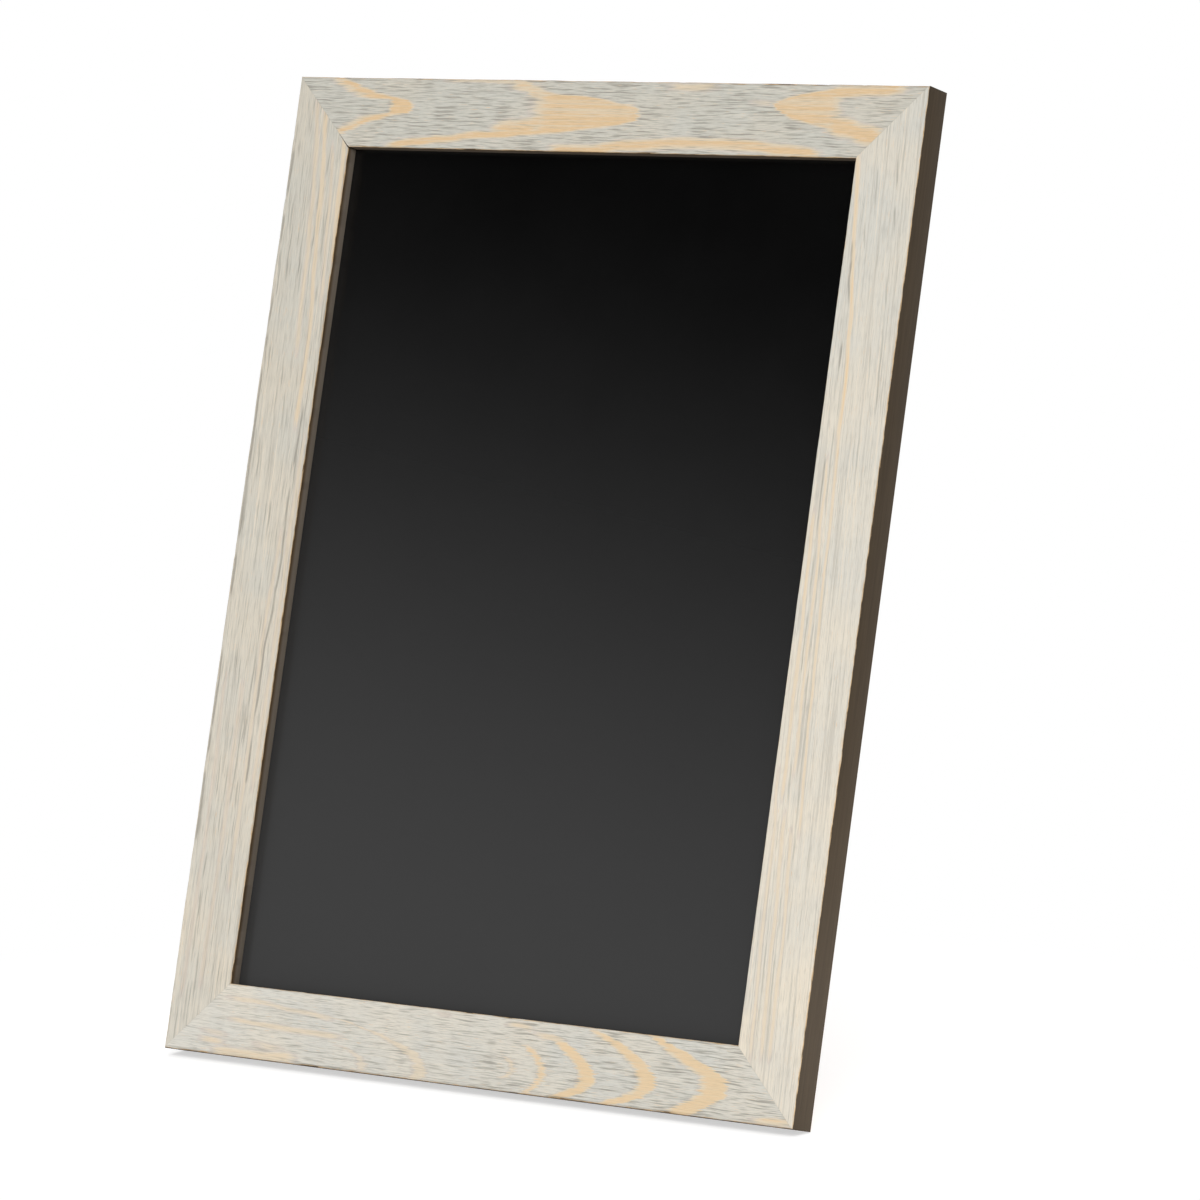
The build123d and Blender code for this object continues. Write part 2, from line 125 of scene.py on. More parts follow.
def arch_band(arch, along, across):
    """How much latewood an arch lays at a place, from 0 to 1: a filled nose and two thinner arms."""
    from_tip = arch.points * (arch.along - along)
    if not ARCH_START < from_tip < max(*arch.reach, arch.nose):
        return 0.0
    rise = across - arch.across
    side = 0 if rise > 0 else 1
    off_nose = max(abs(rise) - arch.flat, NOSE_ROUNDING * abs(rise))
    fall = arch.falls[side] * off_nose ** arch.power
    slope = fall * arch.power / max(off_nose, 1.0)
    behind = (from_tip - fall) / math.hypot(1, slope)
    arm = fade(behind, ARCH_ARM, arch.arms[side]) * fade(from_tip, ARCH_ARM_END, arch.reach[side])
    nose = fade(from_tip, ARCH_NOSE_END, arch.nose)
    return ramp(behind, *ARCH_TIP) * max(arch.strength * arm, arch.fill * nose)


def chevron_band(chevron, along, across):
    """How much latewood a chevron lays at a place, from 0 to 1: a band that tapers in its arms."""
    rise = across - chevron.across
    fall = chevron.falls[0 if rise > 0 else 1] * max(abs(rise) - chevron.flat, 0.0) ** chevron.power
    behind = chevron.along - along - fall
    length = chevron.length * (1 - 0.5 * ramp(fall, *CHEVRON_TAPER))
    band = ramp(behind, *CHEVRON_TIP) * fade(behind, CHEVRON_TAIL, length)
    return chevron.strength * band * fade(fall, CHEVRON_ARM_END, chevron.reach)


def streak_band(streak, along, across):
    """How much latewood a streak lays at a place, from 0 to 1."""
    points = streak.points
    start, end = points[0][0], points[-1][0]
    if not start < along < end:
        return 0.0
    for (a, a_across), (b, b_across) in zip(points, points[1:]):
        if along <= b:
            middle = a_across + (b_across - a_across) * ramp(along, a, b)
            break
    ends = ramp(along, start, start + STREAK_FADE) * (1 - ramp(along, end - STREAK_FADE, end))
    return streak.strength * ends * fade(abs(across - middle), STREAK_EDGE, streak.half)


BANDS = {Arch: arch_band, Chevron: chevron_band, Streak: streak_band}
print("kinds of line:", [kind.__name__ for kind in BANDS])

# %% [markdown]
# ## The grain of each member
# The rails are flat-sawn and show arches, the stiles are cut closer to the quarter and show lines. Keeping
# one list for each member makes the pattern easy to read and to change. Lines in the stiles are measured from
# the bottom of the board, and lines in the rails from its left.

# %% Lay out the latewood
GRAIN = {
    "top_rail": [
        Arch(
            51.6, 10.3, falls=(7.6, 8.2), arms=(2.5, 2.9), nose=12, reach=(46, 46), power=0.66, flat=2.1,
            fill=0.95,
        ),
        Arch(
            145.6, 11.5, falls=(2.4, 2.7), arms=(2.4, 1.0), nose=48, reach=(112, 60), power=1.6, flat=2.0,
            fill=0.8,
        ),
        Streak([(88, 0.6), (97, 2.0), (102, 4.6), (110, 6.6)], 2.2, 0.7),
        Streak([(82, 19.2), (94, 17.0), (112, 13.6)], 2.6, 0.75),
        Streak([(38, 24.6), (54, 22.9), (64, 21.5), (83, 19.7), (108, 17.4)], 1.3, 0.9),
        Streak([(60, 1.0), (80, 0.6), (98, 1.4)], 0.8, 0.4),
        Streak(
            [(108, 24.9), (128, 24.4), (142, 22.4), (168, 21.2), (188, 21.4), (206, 22.9), (224, 24.6)], 1.9
        ),
        Streak([(154, 1.6), (166, 2.0), (180, 1.0)], 1.4, 0.45),
        Arch(200.2, 7.4, falls=(0.35, 0.7), arms=(1.6, 1.8), nose=29, reach=(44, 44), points=-1, fill=0.78),
        Streak([(218, 3.4), (230, 2.6), (240, 2.0), (254, 0.8)], 1.9, 0.9),
        Streak([(218, 12.6), (229, 14.8), (238, 17.2), (248, 19.0)], 3.2, 0.95),
        Streak([(188, 6.8), (196, 7.0), (204, 7.0)], 1.2, 0.3),
    ],
    "bottom_rail": [
        Chevron(149, 8.2, falls=(0.3, 0.3), length=2.6, reach=5, strength=0.4),
        Chevron(161, 7.8, falls=(0.1, 0.11), length=3.2, reach=9, strength=0.8),
        Chevron(181.2, 7.4, falls=(0.1, 0.25), length=7.0, reach=17),
        Chevron(205.4, 8.4, falls=(0.1, 0.26), length=7.5, reach=30),
        Chevron(233.4, 10.2, falls=(1.45, 1.25), length=11.0, reach=38, power=1.2, flat=2.4),
        Chevron(112.8, 3.0, falls=(0.065, 0.2), length=6.5, reach=58, power=2.4, strength=0.38),
        Chevron(87.5, 3.0, falls=(0.35, 0.3), length=4.0, reach=12, strength=0.3),
        Streak([(152, 20.8), (162, 20.0), (170, 18.8)], 1.0, 0.6),
        Streak([(18, 1.2), (38, 1.6), (60, 2.0)], 1.7, 0.48),
        Streak([(36, 5.4), (54, 4.4)], 1.0, 0.32),
        Streak([(12, 5.0), (20, 4.8), (29, 4.6)], 1.1, 0.46),
        Streak([(12, 8.0), (30, 7.2)], 1.0, 0.28),
        Streak([(24, 13.0), (40, 12.4), (56, 11.7), (78, 11.4)], 1.0, 0.42),
        Streak([(22, 20.3), (36, 20.0), (52, 18.4), (74, 17.0)], 0.9, 0.36),
        Streak([(140, 22.4), (148, 22.7), (156, 22.0)], 0.9, 0.55),
        Streak([(112, 23.4), (122, 23.0)], 0.9, 0.4),
        Streak([(242, 1.4), (252, 1.6), (262, 1.6)], 1.1, 0.8),
    ],
    "left_stile": [
        Streak([(218, 19.2), (247, 19.7), (264, 19.0), (280, 17.7), (300, 16.3), (340, 12.9)], 1.0, 0.5),
        Streak([(244, 15.2), (280, 13.9), (300, 13.0), (320, 11.3), (342, 8.6)], 1.0, 0.34),
        Streak([(278, 25.2), (307, 24.0), (330, 22.7)], 1.0, 0.55),
        Streak([(262, 22.8), (296, 20.8), (326, 18.2)], 0.8, 0.32),
        Streak([(54, 18.2), (96, 18.6), (142, 18.0), (188, 19.4)], 0.9, 0.3),
        Streak([(90, 22.8), (150, 23.3), (222, 23.6)], 0.9, 0.3),
        Streak([(20, 12.0), (70, 12.7), (134, 12.0)], 0.9, 0.24),
        Streak([(16, 4.6), (80, 5.2), (136, 4.2)], 0.8, 0.2),
    ],
    "right_stile": [
        Streak([(224, 17.4), (252, 17.6), (268, 18.6), (287, 20.7), (300, 22.0), (328, 24.3)], 0.8, 0.7),
        Streak([(92, 12.2), (140, 14.4), (190, 15.8), (236, 17.2)], 0.6, 0.5),
        Streak([(112, 17.0), (170, 18.7), (224, 20.3)], 0.6, 0.45),
        Streak([(104, 20.4), (160, 21.6), (206, 22.6)], 0.7, 0.55),
        Streak([(18, 12.2), (56, 13.0), (100, 15.4)], 0.7, 0.4),
        Streak([(18, 15.4), (60, 17.0), (106, 18.8)], 0.8, 0.4),
        Streak([(18, 19.6), (80, 21.6), (120, 23.2)], 0.7, 0.35),
    ],
}
print("latewood lines:", {name: len(lines) for name, lines in GRAIN.items()})

# %% [markdown]
# ## Cracks
# The straight-grained stiles have opened in a few fine cracks along the grain, and the left one also along
# its outer edge. Splinters are gone from the outer arrises of the rails. All are drawn as streaks too, and
# are cut deeper than the brushing.

# %% Lay out the cracks
CRACKS = {
    "top_rail": [
        Streak([(18, 0.3), (26, 0.3), (34, 0.3)], 0.3, 0.6),
        Streak([(92, 0.3), (106, 0.4), (120, 0.3)], 0.3, 0.6),
        Streak([(178, 0.3), (206, 0.35), (230, 0.3)], 0.35, 0.9),
    ],
    "bottom_rail": [
        Streak([(2, 0.4), (12, 0.3), (24, 0.3)], 0.35, 0.7),
        Streak([(54, 0.3), (70, 0.5), (88, 0.3)], 0.45, 0.95),
        Streak([(156, 0.3), (170, 0.4), (184, 0.3)], 0.4, 0.9),
        Streak([(194, 0.3), (205, 0.4), (218, 0.3)], 0.4, 0.9),
    ],
    "left_stile": [
        Streak([(84, 19.7), (117, 19.3), (142, 19.3), (159, 20.3), (172, 21.0)], 0.45),
        Streak([(160, 20.5), (172, 21.0), (197, 20.3), (213, 21.0), (232, 21.4)], 0.45),
        Streak([(66, 1.2), (200, 1.2), (324, 1.2)], 0.45, 1.0),
        Streak([(82, 16.2), (112, 15.8), (160, 16.2)], 0.35, 0.6),
        Streak([(78, 13.8), (104, 14.2), (126, 13.8)], 0.35, 0.5),
        Streak([(84, 10.6), (100, 10.7), (118, 10.4)], 0.35, 0.5),
        Streak([(84, 8.6), (98, 8.6), (116, 8.8)], 0.35, 0.45),
        Streak([(6, 6.9), (40, 6.7), (76, 6.6)], 0.4, 0.6),
        Streak([(262, 20.4), (284, 19.6), (304, 18.2)], 0.5, 0.45),
        Streak([(300, 17.0), (316, 16.4), (330, 15.4)], 0.45, 0.4),
    ],
    "right_stile": [
        Streak([(294, 6.3), (312, 7.6), (326, 8.8)], 0.4, 0.6),
        Streak([(300, 14.4), (312, 15.4), (322, 16.2)], 0.35, 0.5),
        Streak([(288, 16.6), (298, 17.8), (308, 18.8)], 0.35, 0.5),
        Streak([(234, 4.1), (258, 5.2), (286, 6.7)], 0.35, 0.5),
        Streak([(248, 8.8), (260, 9.8), (274, 10.6)], 0.35, 0.5),
        Streak([(270, 20.3), (282, 21.2), (297, 21.9)], 0.4, 0.8),
        Streak([(246, 20.5), (254, 20.7), (264, 20.6)], 0.4, 0.8),
        Streak([(228, 20.8), (237, 22.0), (246, 22.7)], 0.4, 0.8),
        Streak([(110, 15.8), (160, 17.4), (236, 19.4)], 0.35, 0.45),
        Streak([(100, 18.2), (150, 19.9), (226, 21.3)], 0.35, 0.5),
        Streak([(84, 13.2), (120, 14.6), (180, 16.6)], 0.35, 0.35),
        Streak([(20, 14.2), (60, 15.0), (92, 16.6)], 0.35, 0.3),
        Streak([(30, 18.4), (70, 19.4), (110, 21.2)], 0.35, 0.3),
    ],
}
print("cracks:", {name: len(lines) for name, lines in CRACKS.items()})

# %% [markdown]
# ## The brushed face
# A wire brush tears the soft earlywood out in short dashes and leaves the latewood standing. The relief is
# about half a millimetre at most, but it is what catches the light, so it is real geometry here. The dashes
# come from noise that is stretched along the member, and the same value is kept on each vertex for the
# material, which paints shade into the grooves and a highlight onto the ridges. Strength, pale and cream go
# from one value at the start of a member to another at its end. Each kind of noise has its size, its length
# along the grain and its width across it.

# %% Depth and tone of the brushing
Wood = namedtuple("Wood", "length width strength straight slant seed pale cream")
WOODS = {
    "top_rail": Wood(12.0, 0.44, (1.2, 1.2), 0.3, 0.0, 11, (0.05, 0.05), (0.1, 0.1)),
    "bottom_rail": Wood(12.0, 0.44, (0.5, 1.3), 0.5, 0.0, 23, (0.8, 0.7), (0.35, 0.1)),
    "left_stile": Wood(18.0, 0.55, (0.6, 0.7), 1.0, -0.02, 37, (0.42, 0.0), (0.65, 0.4)),
    "right_stile": Wood(26.0, 0.55, (0.35, 0.4), 1.0, 0.035, 53, (0.95, 0.42), (0.85, 0.25)),
}
Wave = namedtuple("Wave", "size length width shift")
FEATHERED_EDGE = Wave(2.2, 5, 0.5, 0)
BAND_DRIFT = Wave(0.5, 12, 4, 5)
FIBRE_WANDER = Wave(0.3, 7, 3, 0)
BRUSH_PATCHES = Wave(0.3, 22, 6, 3)
CRACK_DRIFT = Wave(0.3, 9, 6, 6)
CRACK_BREAKS = Wave(1.0, 11, 3, 7)
CRACK_OPENS = -0.45, 0.1
GROOVE_DEPTH = 0.16
CRACK_DEPTH = 0.25
EARLYWOOD_DROP = 0.1
LATEWOOD_HOLDS = 0.8


def wave(kind, seed, along, across):
    """Noise at a place, up to its size on either side of 0. The shift keeps one kind from another."""
    return kind.size * noise.noise(Vector((along / kind.length, across / kind.width, seed + kind.shift)))


def from_ends(pair, share):
    """Value at a share of the length, between the values at the two ends."""
    return pair[0] + (pair[1] - pair[0]) * share


def latewood_at(lines, along, across, seed):
    """Latewood at a place, with the edges of the bands feathered along the grain."""
    ragged = along + wave(FEATHERED_EDGE, seed, along, across)
    drifted = across + wave(BAND_DRIFT, seed, along, across)
    return max(BANDS[type(line)](line, ragged, drifted) for line in lines)


def brush_at(wood, along, across, length):
    """Brush mark at a place, from -1 on a ridge to 1 in a groove."""
    long_mark = Wave(1.3, wood.length, wood.width, 1)
    short_mark = Wave(0.9, 0.45 * wood.length, 0.7 * wood.width, 2)
    fibre = across - wood.slant * along + wave(FIBRE_WANDER, wood.seed, along, across)
    marks = sum(wave(kind, wood.seed, along, fibre) for kind in (long_mark, short_mark))
    patches = 0.9 + wave(BRUSH_PATCHES, wood.seed, along, across)
    strength = patches * from_ends(wood.strength, along / length)
    return max(-1.0, min(1.0, marks * strength))


def crack_at(lines, along, across, seed):
    """Open crack at a place, from 0 to 1, broken up along its length."""
    drifted = across + wave(CRACK_DRIFT, seed, along, across)
    deepest = max(streak_band(line, along, drifted) for line in lines)
    return deepest * ramp(wave(CRACK_BREAKS, seed, along, across), *CRACK_OPENS)


print(f"deepest mark: {EARLYWOOD_DROP + GROOVE_DEPTH + CRACK_DEPTH:.2f} mm")

# %% [markdown]
# ## One member of the frame
# The moulding is an L: a broad face whose lip hides the edge of the slate. The section is drawn as a few
# vertices, extruded, and its long edges eased with a bevel. Loop cuts then give the face a fine grid, so that
# it can take the brushing.

# %% Draw, ease and cut the moulding
REBATE = 5.0
OUTER_EASE = 0.8
SIGHT_EASE = 0.5
BACK_EASE = 0.4
BACK_INSET = 0.04
CELL_ALONG = 1.0
CELL_ACROSS = 0.14
TINY = 0.01


def long_edges(bm, keep=lambda across, depth: True):
    """Edges that run along the member and whose place in its section passes a test."""
    edges = [edge for edge in bm.edges if abs(edge.verts[0].co.x - edge.verts[1].co.x) > 1]
    return [edge for edge in edges if keep(edge.verts[0].co.y, edge.verts[0].co.z)]


def face_ends(bm):
    """The two edges that close the flat of the face at the ends of a bar."""
    on_face = [edge for edge in bm.edges if max(vert.co.z for vert in edge.verts) < TINY]
    return [edge for edge in on_face if abs(edge.verts[0].co.y - edge.verts[1].co.y) > FACE / 2]


def moulding(length):
    """Straight bar of the moulding: X along it, Y in from its outer edge, Z back from its face, in mm."""
    bm = bmesh.new()
    back = DEPTH - BACK_INSET
    section = [(0, 0), (FACE, 0), (FACE, LIP), (FACE - REBATE, LIP), (FACE - REBATE, back), (0, back)]
    start = bm.faces.new([bm.verts.new((0, across, depth)) for across, depth in section])
    bar = bmesh.ops.extrude_face_region(bm, geom=[start], use_keep_orig=True)
    far_end = [item for item in bar["geom"] if isinstance(item, bmesh.types.BMVert)]
    bmesh.ops.translate(bm, verts=far_end, vec=(length, 0, 0))
    eases = [
        (OUTER_EASE, lambda across, depth: across < TINY and depth < TINY),
        (SIGHT_EASE, lambda across, depth: across > FACE - TINY and depth < TINY),
        (BACK_EASE, lambda across, depth: across < TINY and depth > back - TINY),
    ]
    for ease, keep in eases:
        edges = long_edges(bm, keep)
        bmesh.ops.bevel(bm, geom=edges, offset=ease, segments=4, profile=0.5, affect="EDGES", material=-1)
    bmesh.ops.subdivide_edges(bm, edges=face_ends(bm), cuts=round(FACE / CELL_ACROSS), use_grid_fill=True)
    bmesh.ops.subdivide_edges(bm, edges=long_edges(bm), cuts=round(length / CELL_ALONG), use_grid_fill=True)
    return bm


print("cells across the face:", round(FACE / CELL_ACROSS) + 1)

# %% [markdown]
# ## Mitre and weather it
# The mitre first slides each vertex along the member. The vertex then learns where it sits in the wood,
# because that place must not change when the surface is pressed in. Last, the brushing sinks it, and the
# two long arrises are rubbed back unevenly, as handling does. Nothing is pushed outwards, so the member
# stays inside its solid.

# %% Slide to the mitre and press the grain in
MITRE_PLAY = 0.01
CORNER_GAP = 0.45
CORNER_GAP_LENGTH = 6.0
GENTLE_RUB = Wave(0.1, 9, 1, 0.5)
DENT = Wave(0.5, 5, 1, 7.5)
DENT_FROM = 0.21
SIGHT_RUB = 0.6
STORED = ("latewood", "brush", "pale", "cream", "straight", "mitre", "inset")


def rubbed_arris(along, seed):
    """How far an arris is rubbed back at a place along it, in mm. Its seed picks its row of the noise."""
    gentle = GENTLE_RUB.size + wave(GENTLE_RUB, 0, along, seed)
    return gentle + max(0.0, wave(DENT, 0, along, seed) - DENT_FROM)


def rub_arrises(vert, along, across, depth, seed):
    """Rubs a vertex back if it is on the outer arris or the sight edge."""
    if across < OUTER_EASE:
        rub = rubbed_arris(along, seed)
        vert.co.y += rub * (1 - across / OUTER_EASE)
        vert.co.z += rub * (1 - depth / OUTER_EASE)
    if across > FACE - SIGHT_EASE and depth < SIGHT_EASE:
        rub = SIGHT_RUB * rubbed_arris(along, seed + 3)
        vert.co.y -= rub
        vert.co.z += rub * (1 - depth / SIGHT_EASE)


def weather(bm, name, length):
    """Cuts the mitres of a bar, sinks its brush marks and stores what its material needs."""
    wood = WOODS[name]
    place = bm.verts.layers.float_vector.new("grain_place")
    layers = {key: bm.verts.layers.float.new(key) for key in STORED}
    for vert in bm.verts:
        across, depth = vert.co.y, vert.co.z
        near_end = across + MITRE_PLAY / math.sqrt(2)
        along = near_end + vert.co.x / length * (length - 2 * near_end)
        vert.co.x = along
        vert[place] = (along, across - wood.slant * along, depth)
        vert[layers["inset"]] = across
        vert[layers["straight"]] = wood.straight
        vert[layers["mitre"]] = min(along - across, length - along - across) / math.sqrt(2)
        vert[layers["pale"]] = from_ends(wood.pale, along / length)
        vert[layers["cream"]] = from_ends(wood.cream, along / length)
        if depth > OUTER_EASE + TINY:
            continue
        late = latewood_at(GRAIN[name], along, across, wood.seed)
        brush = brush_at(wood, along, across, length) * (1 - LATEWOOD_HOLDS * late)
        crack = crack_at(CRACKS[name], along, across, wood.seed)
        vert[layers["latewood"]] = late
        vert[layers["brush"]] = max(brush, crack)
        vert.co.z += EARLYWOOD_DROP * (1 - late) + GROOVE_DEPTH * max(0.0, brush) + CRACK_DEPTH * crack
        rub_arrises(vert, along, across, depth, wood.seed)


def open_corner(bm, length):
    """Opens the upper mitre of the left stile a little next to the slate, where the glue line has let go."""
    start = FACE - CORNER_GAP_LENGTH
    for vert in bm.verts:
        at_end = vert.co.x > length - vert.co.y - 2 * CELL_ALONG
        if at_end and vert.co.y > start:
            vert.co.x -= CORNER_GAP * (vert.co.y - start) / CORNER_GAP_LENGTH


print("stored on each vertex:", ", ".join(STORED))

# %% [markdown]
# ## Four members, one frame
# Rails and stiles are the same moulding, cut to two lengths and turned to their places. A matrix takes a bar
# from its own millimetres to the leaning board. The finished mesh holds its place itself, and its object
# stays at the origin.

# %% Place the four members
SHARP = math.radians(35)


def sharpen(bm):
    """Shades the mesh smooth except across its sharp edges."""
    for face in bm.faces:
        face.smooth = True
    for edge in bm.edges:
        edge.smooth = len(edge.link_faces) == 2 and edge.calc_face_angle() < SHARP


def placed(along_axis, inward_axis, corner_across, corner_up):
    """Matrix from a member's millimetres to its place on the leaning board."""
    corner = ACROSS * corner_across + UP * corner_up + BACK * FRONT
    turn = Matrix((along_axis, inward_axis, BACK)).transposed().to_4x4()
    return Matrix.Translation(corner) @ turn @ Matrix.Scale(MM, 4)


PLACES = {
    "top_rail": (WIDTH, placed(ACROSS, -UP, LEFT, TOP)),
    "bottom_rail": (WIDTH, placed(ACROSS, UP, LEFT, BOTTOM)),
    "left_stile": (HEIGHT, placed(UP, ACROSS, LEFT, BOTTOM)),
    "right_stile": (HEIGHT, placed(UP, -ACROSS, RIGHT, BOTTOM)),
}
members = []
for name, (length, matrix) in PLACES.items():
    bm = moulding(length)
    weather(bm, name, length)
    if name == "left_stile":
        open_corner(bm, length)
    bmesh.ops.transform(bm, matrix=matrix, verts=bm.verts)
    bmesh.ops.recalc_face_normals(bm, faces=bm.faces)
    sharpen(bm)
    mesh = bpy.data.meshes.new(f"brushed_{name}")
    bm.to_mesh(mesh)
    bm.free()
    member = bpy.data.objects.new(f"brushed_{name}", mesh)
    bpy.context.scene.collection.objects.link(member)
    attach(member, "board")
    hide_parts(name)
    members.append(member)
    print(member.name, "faces:", len(mesh.polygons))

# %% [markdown]
# ## Small helpers for materials
# A material is a tree of nodes. Writing each node out takes many lines, so one helper adds a node, sets its
# options and connects its inputs. Colours are written as they look on screen, from 0 to 255, and turned into
# the linear values that Blender works with.

# %% Node helpers
def shade(red, green, blue):
    """Linear colour of screen values from 0 to 255."""
    def linear(value):
        value /= 255
        return value / 12.92 if value <= 0.04045 else ((value + 0.055) / 1.055) ** 2.4
    return (linear(red), linear(green), linear(blue), 1.0)


def feed(tree, socket, value):
    """Connects an output to an input, or sets the input to a number or a colour."""
    if isinstance(value, bpy.types.NodeSocket):
        tree.links.new(value, socket)
    else:
        socket.default_value = value


def add(tree, kind, values=None, **options):
    """Adds a node. Options are its settings, and values go to its inputs."""
    made = tree.nodes.new("ShaderNode" + kind)
    for option, value in options.items():
        setattr(made, option, value)
    for socket, value in (values or {}).items():
        feed(tree, made.inputs[socket], value)
    return made


def math_node(tree, operation, first, second):
    """Result of one sum on two values."""
    return add(tree, "Math", {0: first, 1: second}, operation=operation).outputs[0]


def times(tree, first, second):
    """Product of two values."""
    return math_node(tree, "MULTIPLY", first, second)


def plus(tree, first, second):
    """Sum of two values."""
    return math_node(tree, "ADD", first, second)


def step(tree, value, low, high, to_low=0.0, to_high=1.0):
    """Smooth step of a value, from to_low at low to to_high at high."""
    values = {"Value": value, "From Min": low, "From Max": high, "To Min": to_low, "To Max": to_high}
    return add(tree, "MapRange", values, interpolation_type="SMOOTHSTEP").outputs["Result"]


def mix(tree, share, first, second):
    """Colour between two colours. The colour sockets of a Mix node come after those for numbers."""
    made = add(tree, "Mix", data_type="RGBA")
    for socket, value in ((0, share), (6, first), (7, second)):
        feed(tree, made.inputs[socket], value)
    return made.outputs[2]


def cloudy(tree, place, scale, detail, roughness=0.5):
    """Plain noise at a place, from 0 to 1."""
    values = {"Vector": place, "Scale": scale, "Detail": detail, "Roughness": roughness}
    return add(tree, "TexNoise", values).outputs["Fac"]


def rough_surface(tree, shader, height, strength, distance):
    """Bumps a material by a height."""
    bump = add(tree, "Bump", {"Height": height, "Strength": strength, "Distance": distance})
    tree.links.new(bump.outputs["Normal"], shader.inputs["Normal"])


def finish(name):
    """New material with a Principled BSDF, as itself, its tree and that shader."""
    material = bpy.data.materials.new(name)
    material.use_nodes = True
    tree = material.node_tree
    return material, tree, tree.nodes["Principled BSDF"]


def object_place(tree):
    """Place on a piece, in metres."""
    return add(tree, "TexCoord").outputs["Object"]


print("middle grey on screen is", round(shade(128, 128, 128)[0], 3), "in linear light")

# %% [markdown]
# ## Noise that runs one way
# Brush marks, fibres and rolling lines are all noise stretched in one direction, so they share one node
# group. It takes a place, the length and width of a mark in the same unit, and a number that picks another
# pattern. It gives dark marks, pale marks and the plain noise, most of which lies in the noise range.

# %% Group for one-way marks
DARK_MARK = 0.5, 0.36
PALE_MARK = 0.54, 0.7
NOISE_RANGE = 0.3, 0.7


def one_way_marks():
    """Group that stretches noise along X into marks."""
    tree = bpy.data.node_groups.new("One-way marks", "ShaderNodeTree")
    tree.interface.new_socket("Place", in_out="INPUT", socket_type="NodeSocketVector")
    for socket in ("Length", "Width", "Pattern"):
        tree.interface.new_socket(socket, in_out="INPUT", socket_type="NodeSocketFloat")
    for socket in ("Dark", "Pale", "Noise"):
        tree.interface.new_socket(socket, in_out="OUTPUT", socket_type="NodeSocketFloat")
    given = tree.nodes.new("NodeGroupInput").outputs
    result = tree.nodes.new("NodeGroupOutput").inputs
    parts = add(tree, "SeparateXYZ", {0: given["Place"]}).outputs
    stretched = add(tree, "CombineXYZ", {
        0: math_node(tree, "DIVIDE", parts[0], given["Length"]),
        1: math_node(tree, "DIVIDE", parts[1], given["Width"]),
        2: plus(tree, math_node(tree, "DIVIDE", parts[2], given["Width"]), given["Pattern"]),
    }).outputs[0]
    values = {"Vector": stretched, "Scale": 1.0, "Detail": 3.0, "Roughness": 0.55}
    marks = add(tree, "TexNoise", values).outputs["Fac"]
    tree.links.new(step(tree, marks, *DARK_MARK), result["Dark"])
    tree.links.new(step(tree, marks, *PALE_MARK), result["Pale"])
    tree.links.new(marks, result["Noise"])
    return tree


ONE_WAY = one_way_marks()


def marks_on(tree, place, length, width, pattern):
    """Outputs of the group of one-way marks, set for one material."""
    values = {"Place": place, "Length": length, "Width": width, "Pattern": pattern}
    return add(tree, "Group", values, node_tree=ONE_WAY).outputs


print("groups:", [group.name for group in bpy.data.node_groups])

# %% [markdown]
# ## The washed face
# The face was brushed, then washed with thin grey-white paint: the wash sits in the earlywood and has been
# wiped off the latewood, which shows orange. All of it reads the values stored on the vertices, so each
# member's grain runs its own way and turns the corner at the mitre. Of each pair of colours, the first is for
# a thin wash and the second for a pale one.

# %% Colours of the washed face
WASH_GREY = shade(201, 199, 189), shade(224, 222, 214)
WASH_CREAM = shade(212, 203, 186), shade(241, 231, 213)
PEACH = shade(220, 203, 176), shade(234, 218, 192)
ORANGE = shade(222, 190, 147), shade(240, 214, 174)
PALE_LINE = shade(236, 223, 202)
DARK_LINE = shade(192, 185, 172)
BLUSH = shade(207, 192, 183)
# Painted shade laid in the grooves and cracks of the brushing, and a painted highlight laid on its ridges.
GROOVE_SHADE = shade(142, 137, 127)
FINE_STROKE = shade(140, 135, 125)
RIDGE_HIGHLIGHT = shade(236, 233, 225)
CHALK = shade(240, 237, 229)
GLUE_LINE = shade(120, 108, 92)
WARM_DRIFT = -0.25, 0.25
LINE_SHARE = 0.5
BLUSH_SHARE = 0.4
PEACH_FROM = 0.06, 0.5
ORANGE_FROM = 0.5, 0.95
ORANGE_DRIFT = -0.2, 0.2
LATEWOOD_SHARE = 0.9
GROOVE_SHADE_SHARE = 0.64
RIDGE_HIGHLIGHT_SHARE = 0.9
FINE_ON_STRAIGHT = 0.5
FINE_ON_LATEWOOD = 0.42, 0.16
CHALK_SHARE = 0.4
GLUE_REACH = 0.25, 0.05
GLUE_SHARE = 0.15


def washed_wood(tree, stored, place, lines):
    """Colour of the wash and of the latewood that shows through it."""
    latewood, pale = stored["latewood"], stored["pale"]
    patches = step(tree, cloudy(tree, place, 0.035, 2.0), 0.35, 0.65, *WARM_DRIFT)
    warm = plus(tree, stored["cream"], patches)
    face = mix(tree, warm, mix(tree, pale, *WASH_GREY), mix(tree, pale, *WASH_CREAM))
    line_share = times(tree, stored["straight"], LINE_SHARE)
    face = mix(tree, times(tree, lines["Pale"], line_share), face, PALE_LINE)
    face = mix(tree, times(tree, lines["Dark"], line_share), face, DARK_LINE)
    beside = times(tree, step(tree, latewood, 0.01, 0.1), step(tree, latewood, 0.4, 0.1, 0.0, BLUSH_SHARE))
    face = mix(tree, beside, face, BLUSH)
    face = mix(tree, step(tree, latewood, *PEACH_FROM, 0.0, LATEWOOD_SHARE), face, mix(tree, pale, *PEACH))
    patchy = plus(tree, latewood, step(tree, lines["Noise"], *NOISE_RANGE, *ORANGE_DRIFT))
    return mix(tree, step(tree, patchy, *ORANGE_FROM, 0.0, LATEWOOD_SHARE), face, mix(tree, pale, *ORANGE))


